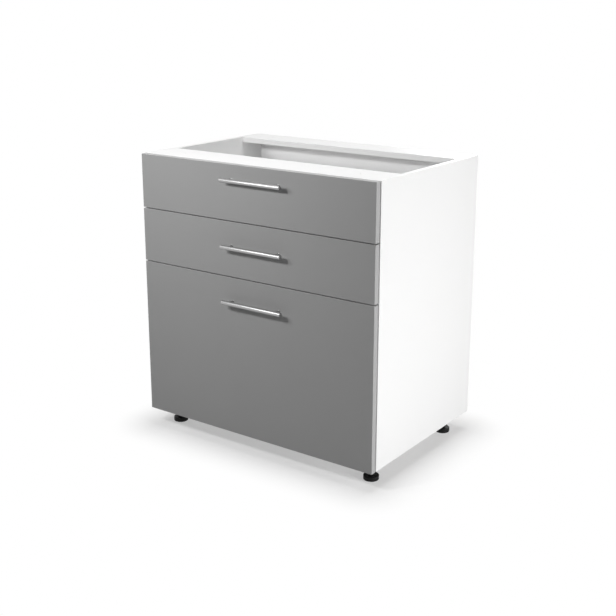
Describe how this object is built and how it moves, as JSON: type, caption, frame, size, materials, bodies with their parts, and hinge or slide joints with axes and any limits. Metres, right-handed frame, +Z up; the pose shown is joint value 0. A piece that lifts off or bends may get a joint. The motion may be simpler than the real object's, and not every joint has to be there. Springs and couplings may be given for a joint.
{
  "type": "base cabinet with drawers",
  "caption": "Kitchen base cabinet with a white carcass, grey slab fronts on pull-out drawers, bar handles and adjustable feet; its top is open for a worktop.",
  "frame": {"origin": "on the floor, under the middle of the whole cabinet, handles included", "axes": "+X to the right as seen from the front, -Y out of the drawer fronts, +Z up"},
  "size_m": [0.8, 0.568, 0.836],
  "materials": {
    "white_board": "white melamine-faced chipboard, satin",
    "grey_front": "mid-grey laminated board, matt",
    "back_board": "white-faced hardboard, matt",
    "beech": "plain beech",
    "brushed_handle": "fine brushed steel",
    "white_steel": "white powder coat, satin",
    "zinc_steel": "zinc plated",
    "black_plastic": "moulded, matt",
    "roller_plastic": "white nylon",
    "white_plastic": "moulded, satin",
    "clear_plastic": "soft bumper, milky"
  },
  "bodies": {
    "carcass": {"side_panel_left": "white_board", "side_panel_right": "white_board", "bottom_panel": "white_board", "front_top_rail": "white_board", "rear_top_rail": "white_board", "back_panel": "back_board", "back_panel_screws": "zinc_steel", "cam_bolts": "zinc_steel", "cam_housings": "zinc_steel", "wood_dowels": "beech", "leg_sockets": "black_plastic", "leg_socket_screws": "zinc_steel", "front_bumpers": "clear_plastic", "runner_channels_top": "white_steel", "runner_channels_middle": "white_steel", "runner_channels_deep": "white_steel", "runner_screws": "zinc_steel"},
    "drawer_top": {"front_panel_top": "grey_front", "handle_top": "brushed_handle", "handle_screws_top": "zinc_steel", "drawer_side_left_top": "white_steel", "drawer_side_right_top": "white_steel", "drawer_base_top": "white_board", "drawer_back_top": "white_board", "drawer_screws_top": "zinc_steel", "front_brackets_top": "zinc_steel"},
    "front_rollers_top": {"front_rollers_top": "roller_plastic"},
    "rear_rollers_top": {"rear_rollers_top": "roller_plastic"},
    "drawer_middle": {"front_panel_middle": "grey_front", "handle_middle": "brushed_handle", "handle_screws_middle": "zinc_steel", "drawer_side_left_middle": "white_steel", "drawer_side_right_middle": "white_steel", "drawer_base_middle": "white_board", "drawer_back_middle": "white_board", "drawer_screws_middle": "zinc_steel", "front_brackets_middle": "zinc_steel"},
    "front_rollers_middle": {"front_rollers_middle": "roller_plastic"},
    "rear_rollers_middle": {"rear_rollers_middle": "roller_plastic"},
    "drawer_deep": {"front_panel_deep": "grey_front", "handle_deep": "brushed_handle", "handle_screws_deep": "zinc_steel", "drawer_side_left_deep": "white_steel", "drawer_side_right_deep": "white_steel", "drawer_base_deep": "white_board", "drawer_back_deep": "white_board", "drawer_screws_deep": "zinc_steel", "front_brackets_deep": "zinc_steel", "gallery_rods": "white_steel", "gallery_brackets": "white_plastic"},
    "front_rollers_deep": {"front_rollers_deep": "roller_plastic"},
    "rear_rollers_deep": {"rear_rollers_deep": "roller_plastic"},
    "foot_pad_front_left": {"foot_pad_front_left": "black_plastic"},
    "foot_spindle_front_left": {"foot_spindle_front_left": "black_plastic"},
    "foot_pad_front_right": {"foot_pad_front_right": "black_plastic"},
    "foot_spindle_front_right": {"foot_spindle_front_right": "black_plastic"},
    "foot_pad_back_left": {"foot_pad_back_left": "black_plastic"},
    "foot_spindle_back_left": {"foot_spindle_back_left": "black_plastic"},
    "foot_pad_back_right": {"foot_pad_back_right": "black_plastic"},
    "foot_spindle_back_right": {"foot_spindle_back_right": "black_plastic"}
  },
  "joints": [
    {"name": "drawer_top_slide", "type": "slide", "parent": "carcass", "child": "drawer_top", "axis": [0, -1, 0], "range_m": [0, 0.375]},
    {"name": "front_rollers_top_turn", "type": "hinge", "parent": "carcass", "child": "front_rollers_top", "pos_m": [0, -0.218, 0.7062], "axis": [1, 0, 0], "range_deg": [0, 1954]},
    {"name": "rear_rollers_top_turn", "type": "hinge", "parent": "drawer_top", "child": "rear_rollers_top", "pos_m": [0, 0.248, 0.7045], "axis": [1, 0, 0], "range_deg": [0, 1954]},
    {"name": "drawer_middle_slide", "type": "slide", "parent": "carcass", "child": "drawer_middle", "axis": [0, -1, 0], "range_m": [0, 0.375]},
    {"name": "front_rollers_middle_turn", "type": "hinge", "parent": "carcass", "child": "front_rollers_middle", "pos_m": [0, -0.218, 0.5477], "axis": [1, 0, 0], "range_deg": [0, 1954]},
    {"name": "rear_rollers_middle_turn", "type": "hinge", "parent": "drawer_middle", "child": "rear_rollers_middle", "pos_m": [0, 0.248, 0.546], "axis": [1, 0, 0], "range_deg": [0, 1954]},
    {"name": "drawer_deep_slide", "type": "slide", "parent": "carcass", "child": "drawer_deep", "axis": [0, -1, 0], "range_m": [0, 0.375]},
    {"name": "front_rollers_deep_turn", "type": "hinge", "parent": "carcass", "child": "front_rollers_deep", "pos_m": [0, -0.218, 0.1022], "axis": [1, 0, 0], "range_deg": [0, 1954]},
    {"name": "rear_rollers_deep_turn", "type": "hinge", "parent": "drawer_deep", "child": "rear_rollers_deep", "pos_m": [0, 0.248, 0.1005], "axis": [1, 0, 0], "range_deg": [0, 1954]},
    {"name": "foot_front_left_height", "type": "slide", "parent": "carcass", "child": "foot_pad_front_left", "axis": [0, 0, -1], "range_m": [0, 0.015]},
    {"name": "foot_front_left_screw", "type": "hinge", "parent": "foot_pad_front_left", "child": "foot_spindle_front_left", "pos_m": [-0.349, -0.18, 0.02], "axis": [0, 0, -1], "range_deg": [0, 1350]},
    {"name": "foot_front_right_height", "type": "slide", "parent": "carcass", "child": "foot_pad_front_right", "axis": [0, 0, -1], "range_m": [0, 0.015]},
    {"name": "foot_front_right_screw", "type": "hinge", "parent": "foot_pad_front_right", "child": "foot_spindle_front_right", "pos_m": [0.349, -0.18, 0.02], "axis": [0, 0, -1], "range_deg": [0, 1350]},
    {"name": "foot_back_left_height", "type": "slide", "parent": "carcass", "child": "foot_pad_back_left", "axis": [0, 0, -1], "range_m": [0, 0.015]},
    {"name": "foot_back_left_screw", "type": "hinge", "parent": "foot_pad_back_left", "child": "foot_spindle_back_left", "pos_m": [-0.349, 0.22, 0.02], "axis": [0, 0, -1], "range_deg": [0, 1350]},
    {"name": "foot_back_right_height", "type": "slide", "parent": "carcass", "child": "foot_pad_back_right", "axis": [0, 0, -1], "range_m": [0, 0.015]},
    {"name": "foot_back_right_screw", "type": "hinge", "parent": "foot_pad_back_right", "child": "foot_spindle_back_right", "pos_m": [0.349, 0.22, 0.02], "axis": [0, 0, -1], "range_deg": [0, 1350]}
  ],
  "couplings": [
    {"joint": "front_rollers_top_turn", "follows": "drawer_top_slide", "rad_per_m": 90.909},
    {"joint": "rear_rollers_top_turn", "follows": "drawer_top_slide", "rad_per_m": 90.909},
    {"joint": "front_rollers_middle_turn", "follows": "drawer_middle_slide", "rad_per_m": 90.909},
    {"joint": "rear_rollers_middle_turn", "follows": "drawer_middle_slide", "rad_per_m": 90.909},
    {"joint": "front_rollers_deep_turn", "follows": "drawer_deep_slide", "rad_per_m": 90.909},
    {"joint": "rear_rollers_deep_turn", "follows": "drawer_deep_slide", "rad_per_m": 90.909},
    {"joint": "foot_front_left_screw", "follows": "foot_front_left_height", "rad_per_m": 1570.8},
    {"joint": "foot_front_right_screw", "follows": "foot_front_right_height", "rad_per_m": 1570.8},
    {"joint": "foot_back_left_screw", "follows": "foot_back_left_height", "rad_per_m": 1570.8},
    {"joint": "foot_back_right_screw", "follows": "foot_back_right_height", "rad_per_m": 1570.8}
  ]
}
